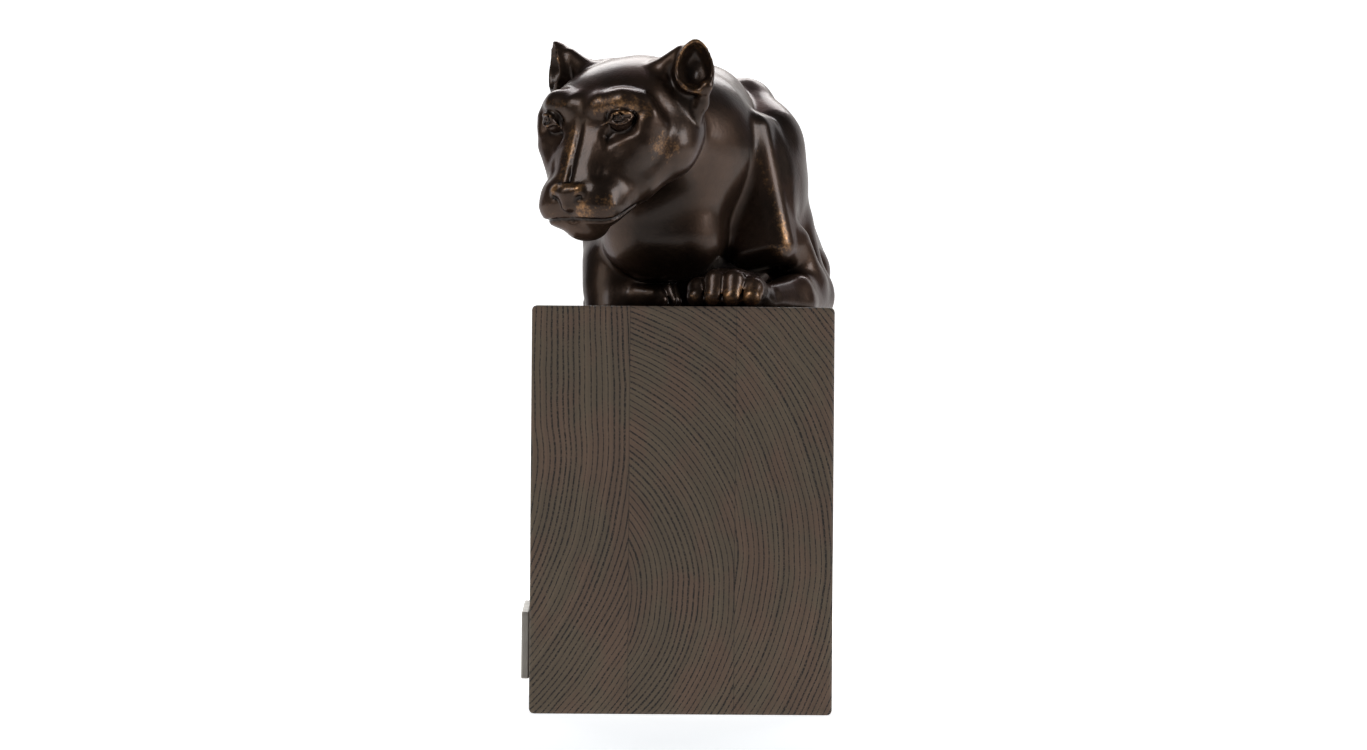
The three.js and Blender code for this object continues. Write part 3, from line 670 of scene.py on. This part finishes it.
class Graph:
    """Short ways to add nodes to a material."""

    def __init__(self, name):
        self.material = bpy.data.materials.new(name)
        self.material.use_nodes = True
        self.tree = self.material.node_tree
        self.shader = self.tree.nodes["Principled BSDF"]

    def add(self, kind, **values):
        node = self.tree.nodes.new(kind)
        for name, value in values.items():
            setattr(node, name, value)
        return node

    def put(self, socket, value):
        if isinstance(value, bpy.types.NodeSocket):
            self.tree.links.new(value, socket)
        else:
            socket.default_value = value

    def paint(self, name, value):
        self.put(self.shader.inputs[name], value)

    def place(self):
        return self.add("ShaderNodeTexCoord").outputs["Object"]

    def attribute(self, name):
        return self.add("ShaderNodeAttribute", attribute_name=name).outputs["Fac"]

    def split(self, vector):
        node = self.add("ShaderNodeSeparateXYZ")
        self.put(node.inputs[0], vector)
        return node.outputs

    def math(self, operation, a, b=0.0, clamp=False):
        node = self.add("ShaderNodeMath", operation=operation, use_clamp=clamp)
        self.put(node.inputs[0], a)
        self.put(node.inputs[1], b)
        return node.outputs[0]

    def plus(self, first, *others):
        for value in others:
            first = self.math("ADD", first, value)
        return first

    def minus(self, a, b):
        return self.math("SUBTRACT", a, b)

    def times(self, a, b):
        return self.math("MULTIPLY", a, b)

    def swing(self, value, amount):
        """Turns a noise round a half into one round nought, this much from lowest to highest."""
        return self.times(self.minus(value, 0.5), amount)

    def noise(self, vector, scale, detail=3.0, roughness=0.5):
        node = self.add("ShaderNodeTexNoise")
        values = {"Vector": vector, "Scale": scale, "Detail": detail, "Roughness": roughness}
        for name, value in values.items():
            self.put(node.inputs[name], value)
        return node.outputs["Fac"]

    def smooth(self, value, low, high, to_low=0.0, to_high=1.0):
        node = self.add("ShaderNodeMapRange", interpolation_type="SMOOTHSTEP")
        for socket, v in zip(node.inputs, (value, low, high, to_low, to_high)):
            self.put(socket, v)
        return node.outputs[0]

    def mix(self, factor, a, b):
        node = self.add("ShaderNodeMix", data_type="RGBA")
        for index, value in ((0, factor), (6, a), (7, b)):
            self.put(node.inputs[index], value)
        return node.outputs[2]

    def scaled(self, vector, *factors):
        node = self.add("ShaderNodeVectorMath", operation="MULTIPLY")
        self.put(node.inputs[0], vector)
        self.put(node.inputs[1], factors)
        return node.outputs[0]

    def bump(self, height, distance, strength):
        node = self.add("ShaderNodeBump")
        for name, value in (("Height", height), ("Distance", distance), ("Strength", strength)):
            self.put(node.inputs[name], value)
        self.paint("Normal", node.outputs["Normal"])


def colour(*seen):
    """A colour as seen on screen, 0 to 255, in the linear numbers that shaders take."""
    shares = [c / 255 for c in seen]
    linear = [c / 12.92 if c <= 0.04045 else ((c + 0.055) / 1.055) ** 2.4 for c in shares]
    return (*linear, 1.0)


def bronze():
    """Dark brown patina over golden metal, rubbed bright where hands and cloths reach."""
    g = Graph("bronze")
    place = g.place()
    bulge = g.attribute("bulge")
    cloud = g.noise(place, 24.0, 4.0, 0.6)
    fine = g.noise(place, 230.0, 4.0, 0.65)
    speck = g.noise(place, 800.0, 2.0, 0.5)
    patina = g.mix(g.smooth(cloud, 0.35, 0.7), colour(46, 35, 28), colour(70, 52, 41))
    high = g.plus(g.times(bulge, 0.22), g.swing(cloud, 0.4))
    worn = g.plus(g.attribute("rubbed"), g.swing(fine, 0.9), g.swing(speck, 0.5), high)
    rubbed = g.smooth(worn, 0.2, 0.9, 0.0, 0.9)
    hollow = g.smooth(bulge, -0.05, -0.5, 0.0, 0.75)
    golden = g.mix(rubbed, patina, colour(190, 140, 92))
    g.paint("Base Color", g.mix(hollow, golden, colour(26, 21, 19)))
    rough = g.plus(0.26, g.times(cloud, 0.2))
    g.paint("Roughness", g.minus(rough, g.times(rubbed, 0.08)))
    g.paint("Metallic", 0.8)
    g.paint("Specular Tint", (0.4, 0.36, 0.33, 1))
    g.paint("Coat Weight", 0.3)
    g.paint("Coat Roughness", 0.2)
    g.bump(g.plus(g.times(fine, 0.7), g.times(speck, 0.3)), 0.0007, 0.38)
    return g.material


# The plinth's seams, its growth rings and how far they wander, in metres

FIRST_SEAM = -0.0263
SECOND_SEAM = 0.0262
RING_WIDTH = 0.0026
RING_WOBBLE = 0.011
RING_UNEVEN = 0.0008


def stained_wood():
    """Grey-brown stained boards, glued side by side, with growth rings round a heart outside each."""
    g = Graph("stained_wood")
    place = g.place()
    wobble = g.noise(g.scaled(place, 1.0, 0.12, 1.0), 9.0, 3.0, 0.5)
    x, y, z = g.split(place)

    def rings_round(heart_x, heart_z, tilt, highest=1.0):
        """How many rings out each point lies; above highest they run straight up."""
        dx = g.minus(x, heart_x)
        dz = g.minus(g.plus(z, g.times(y, tilt)), heart_z)
        dz = g.math("MINIMUM", dz, highest)
        radius = g.math("SQRT", g.plus(g.times(dx, dx), g.times(dz, dz)))
        radius = g.plus(radius, g.swing(wobble, RING_WOBBLE))
        uneven = g.add("ShaderNodeTexNoise", noise_dimensions="1D")
        g.put(uneven.inputs["Detail"], 0)
        g.put(uneven.inputs["W"], g.times(radius, 95.0))
        radius = g.plus(radius, g.swing(uneven.outputs["Fac"], RING_UNEVEN))
        return g.math("DIVIDE", radius, RING_WIDTH)

    left = rings_round(-0.2, 0.13, 0.0, 0.012)
    middle = rings_round(-0.079, 0.068, -0.03)
    right = g.plus(rings_round(-0.082, 0.072, 0.02), 0.45)
    in_left = g.math("LESS_THAN", x, FIRST_SEAM)
    in_right = g.math("GREATER_THAN", x, SECOND_SEAM)
    in_middle = g.minus(1.0, g.plus(in_left, in_right))
    rings = g.plus(g.times(left, in_left), g.times(middle, in_middle), g.times(right, in_right))

    each = g.add("ShaderNodeTexWhiteNoise", noise_dimensions="1D")
    g.put(each.inputs["W"], g.math("FLOOR", rings))
    line = g.smooth(g.math("ABSOLUTE", g.minus(g.math("FRACT", rings), 0.5)), 0.18, 0.05)
    dots = g.smooth(g.noise(g.scaled(place, 1.0, 0.03, 1.0), 1500.0, 1.0, 0.4), 0.42, 0.58)
    grain = g.noise(g.scaled(place, 1.0, 0.025, 1.0), 1300.0, 3.0, 0.6)
    broad = g.noise(g.scaled(place, 1.0, 0.2, 1.0), 14.0, 2.0, 0.5)
    from_seams = [g.math("ABSOLUTE", g.minus(x, seam)) for seam in (FIRST_SEAM, SECOND_SEAM)]
    glue = g.smooth(g.math("MINIMUM", *from_seams), 0.0004, 0.0001)
    dark_lines = g.times(g.times(line, g.plus(0.3, g.times(dots, 0.7))), -1.05)
    shade = g.plus(dark_lines, g.swing(grain, 0.3), g.swing(broad, 0.4))
    shade = g.plus(shade, g.swing(each.outputs["Value"], 0.15))
    level = g.math("ADD", g.plus(shade, g.times(glue, -0.25)), 0.8, clamp=True)

    patch = g.smooth(g.noise(g.scaled(place, 1.0, 0.15, 0.6), 45.0, 3.0, 0.6), 0.4, 0.62)
    pale = g.mix(patch, colour(97, 83, 67), colour(102, 81, 66))
    g.paint("Base Color", g.mix(level, colour(25, 20, 16), pale))
    g.paint("Roughness", g.plus(0.58, g.times(grain, 0.16)))
    g.paint("Specular IOR Level", 0.35)
    g.bump(level, 0.0004, 0.5)
    return g.material


def brushed_metal():
    g = Graph("brushed_metal")
    place = g.place()
    strokes = g.noise(g.scaled(place, 1.0, 0.02, 1.0), 3000.0, 2.0, 0.6)
    stain = g.smooth(g.noise(place, 40.0, 3.0, 0.6), 0.3, 0.75)
    g.paint("Base Color", g.mix(stain, colour(150, 144, 136), colour(176, 170, 162)))
    g.paint("Metallic", 0.9)
    g.paint("Roughness", g.plus(0.3, g.times(strokes, 0.22)))
    g.bump(strokes, 0.0002, 0.25)
    return g.material


def repaint(name, material):
    node = frame["nodes"][name]
    node.data.materials.clear()
    node.data.materials.append(material)


cat = build_cat()
cat.data.materials.append(bronze())
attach(cat, "root")
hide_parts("cat")
repaint("plinth", stained_wood())
repaint("plate", brushed_metal())


# Camera, lights and floor, in metres

def aimed(obj, place, towards, roll=0):
    """Puts a camera or lamp at a place and points it; a camera can also be rolled, in degrees."""
    obj.location = place
    look = (Vector(towards) - Vector(place)).to_track_quat("-Z", "Y").to_matrix().to_4x4()
    obj.rotation_euler = (look @ Matrix.Rotation(math.radians(roll), 4, "Z")).to_euler()
    bpy.context.scene.collection.objects.link(obj)


def camera():
    data = bpy.data.cameras.new("camera")
    data.sensor_width = 36
    data.lens = 133.18
    data.clip_start = 0.1
    data.clip_end = 60
    obj = bpy.data.objects.new("camera", data)
    aimed(obj, (-0.05, -2.78, 0.168), (0.0002, -0.28, 0.168), 0.45)
    bpy.context.scene.camera = obj


def softbox(name, place, towards, width, height, power, tint):
    data = bpy.data.lights.new(name, "AREA")
    data.shape = "RECTANGLE"
    data.size = width
    data.size_y = height
    data.energy = power
    data.color = tint
    aimed(bpy.data.objects.new(name, data), place, towards)


def floor():
    """A sheet that curves up behind the part and glows more and more, so that it ends in white."""
    near, far, half_width, bend, top, steps = -6.0, 7.0, 9.0, 2.5, 7.0, 12
    profile = [(near, 0.0), (far - bend, 0.0)]
    for i in range(1, steps + 1):
        angle = math.radians(90 * i / steps)
        profile.append((far - bend + bend * math.sin(angle), bend - bend * math.cos(angle)))
    profile.append((far, top))
    points = [(s * half_width, y, z) for y, z in profile for s in sides]
    faces = [(2 * i, 2 * i + 1, 2 * i + 3, 2 * i + 2) for i in range(len(profile) - 1)]
    mesh = bpy.data.meshes.new("floor")
    mesh.from_pydata(points, [], faces)
    mesh.polygons.foreach_set("use_smooth", [True] * len(mesh.polygons))
    obj = bpy.data.objects.new("floor", mesh)
    bpy.context.scene.collection.objects.link(obj)
    g = Graph("floor")
    y = g.split(g.place())[1]
    paler = g.smooth(y, -1.8, -0.6)
    g.paint("Base Color", g.mix(paler, (0.42, 0.42, 0.42, 1), (0.87, 0.87, 0.87, 1)))
    g.paint("Roughness", 0.8)
    g.paint("Emission Color", (1.0, 1.0, 1.0, 1))
    g.paint("Emission Strength", g.smooth(y, -1.2, 0.4, 0.0, 0.95))
    mesh.materials.append(g.material)


def world():
    scene_world = bpy.data.worlds.new("world")
    bpy.context.scene.world = scene_world
    scene_world.use_nodes = True
    background = scene_world.node_tree.nodes["Background"]
    background.inputs["Color"].default_value = (0.95, 0.97, 1.0, 1)
    background.inputs["Strength"].default_value = 0.08


camera()
floor()
world()
softbox("overhead", (0.1, 1.7, 1.6), (0, 0, 0.25), 1.6, 0.9, 30, (0.97, 0.99, 1.0))
softbox("front", (-0.87, -1.35, 1.48), (-0.06, -0.29, 0.28), 0.8, 0.9, 14, (0.86, 0.93, 1.0))
softbox("left", (-1.6, -1.2, 1.0), (0, -0.2, 0.25), 0.9, 1.2, 5, (1.0, 0.93, 0.84))
softbox("right", (1.7, -0.65, 0.85), (0, -0.2, 0.25), 0.7, 0.9, 15, (0.9, 0.95, 1.0))
bpy.context.scene.view_settings.view_transform = "Standard"
